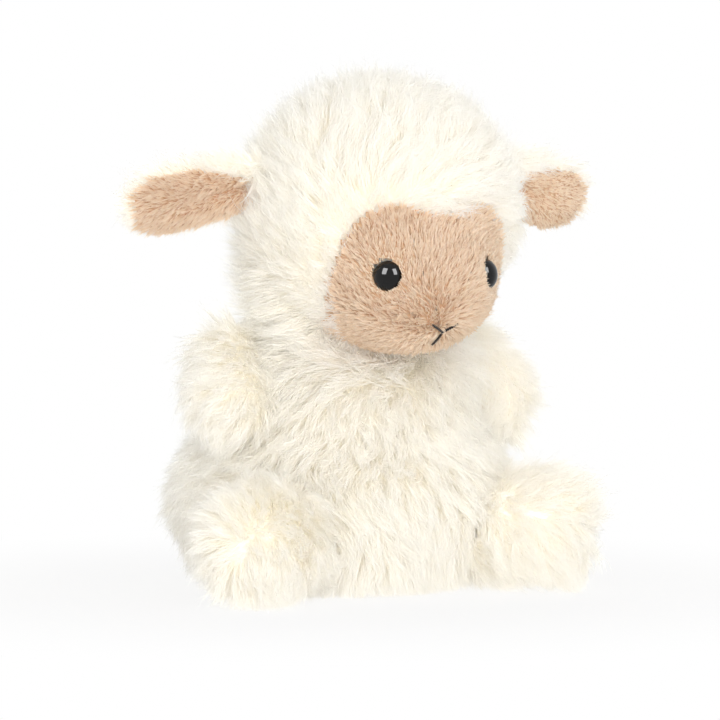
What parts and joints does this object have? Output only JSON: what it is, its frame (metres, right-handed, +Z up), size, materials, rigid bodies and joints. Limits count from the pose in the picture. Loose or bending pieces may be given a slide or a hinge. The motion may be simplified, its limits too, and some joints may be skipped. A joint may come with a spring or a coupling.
{
  "type": "plush sheep",
  "caption": "Seated plush lamb: long-pile body, round head with a short-pile face and ears, seam-hinged limbs, weighted flat seat.",
  "frame": {"origin": "middle of the flat seat that the toy sits on", "axes": "+Z up, the lamb faces -Y, +X towards the lamb's own left"},
  "size_m": [0.1512, 0.1257, 0.15],
  "materials": {
    "long_pile_cream": "long wavy brushed pile on a knitted backing",
    "short_pile_tan": "short dense pile",
    "filling": "loose polyester fibre",
    "pouch_liner": "woven bag of plastic pellets",
    "eye_plastic": "polished black",
    "washer_plastic": "moulded white",
    "thread": "twisted embroidery thread"
  },
  "bodies": {
    "root": {"seat_panel": "long_pile_cream", "belly_panel": "long_pile_cream", "back_panel_left": "long_pile_cream", "back_panel_right": "long_pile_cream", "body_stuffing": "filling", "pellet_pouch": "pouch_liner"},
    "neck": {"neck_collar": "long_pile_cream", "neck_stuffing": "filling"},
    "head": {"head_side_left": "long_pile_cream", "head_side_right": "long_pile_cream", "face_bridge": "short_pile_tan", "cheek_left": "short_pile_tan", "cheek_right": "short_pile_tan", "head_stuffing": "filling", "eye_left": "eye_plastic", "eye_right": "eye_plastic", "eye_washer_left": "washer_plastic", "eye_washer_right": "washer_plastic", "nose_stitch_left": "thread", "nose_stitch_right": "thread", "mouth_stitch": "thread"},
    "ear_left": {"ear_lining_left": "short_pile_tan", "ear_back_left": "long_pile_cream"},
    "ear_right": {"ear_lining_right": "short_pile_tan", "ear_back_right": "long_pile_cream"},
    "arm_left": {"arm_skin_left": "long_pile_cream", "arm_stuffing_left": "filling"},
    "arm_right": {"arm_skin_right": "long_pile_cream", "arm_stuffing_right": "filling"},
    "leg_left": {"leg_skin_left": "long_pile_cream", "leg_stuffing_left": "filling"},
    "leg_right": {"leg_skin_right": "long_pile_cream", "leg_stuffing_right": "filling"},
    "tail": {"tail": "long_pile_cream"}
  },
  "joints": [
    {"name": "neck_turn", "type": "hinge", "parent": "root", "child": "neck", "pos_m": [0, -0.012, 0.08], "axis": [0, 0, 1], "range_deg": [-30, 30], "stiffness_Nm_per_rad": 0.15},
    {"name": "neck_nod", "type": "hinge", "parent": "neck", "child": "head", "pos_m": [0, -0.012, 0.08], "axis": [1, 0, 0], "range_deg": [-12, 12], "stiffness_Nm_per_rad": 0.4},
    {"name": "ear_flap_left", "type": "hinge", "parent": "head", "child": "ear_left", "pos_m": [0.033, -0.021, 0.122], "axis": [0, 1, 0], "range_deg": [-25, 25], "stiffness_Nm_per_rad": 0.03},
    {"name": "ear_flap_right", "type": "hinge", "parent": "head", "child": "ear_right", "pos_m": [-0.033, -0.021, 0.122], "axis": [0, -1, 0], "range_deg": [-25, 25], "stiffness_Nm_per_rad": 0.03},
    {"name": "shoulder_left", "type": "hinge", "parent": "root", "child": "arm_left", "pos_m": [0.035, 0.003, 0.072], "axis": [-1, 0, 0], "range_deg": [-10, 30], "stiffness_Nm_per_rad": 0.05},
    {"name": "shoulder_right", "type": "hinge", "parent": "root", "child": "arm_right", "pos_m": [-0.035, 0.003, 0.072], "axis": [-1, 0, 0], "range_deg": [-10, 30], "stiffness_Nm_per_rad": 0.05},
    {"name": "hip_left", "type": "hinge", "parent": "root", "child": "leg_left", "pos_m": [0.028, -0.024, 0.019], "axis": [-0.6159, -0.7878, 0], "range_deg": [0, 30], "stiffness_Nm_per_rad": 0.08},
    {"name": "hip_right", "type": "hinge", "parent": "root", "child": "leg_right", "pos_m": [-0.028, -0.024, 0.019], "axis": [-0.6159, 0.7878, 0], "range_deg": [0, 30], "stiffness_Nm_per_rad": 0.08},
    {"name": "tail_wag", "type": "hinge", "parent": "root", "child": "tail", "pos_m": [0, 0.042, 0.025], "axis": [1, 0, 0], "range_deg": [-20, 20], "stiffness_Nm_per_rad": 0.01}
  ]
}
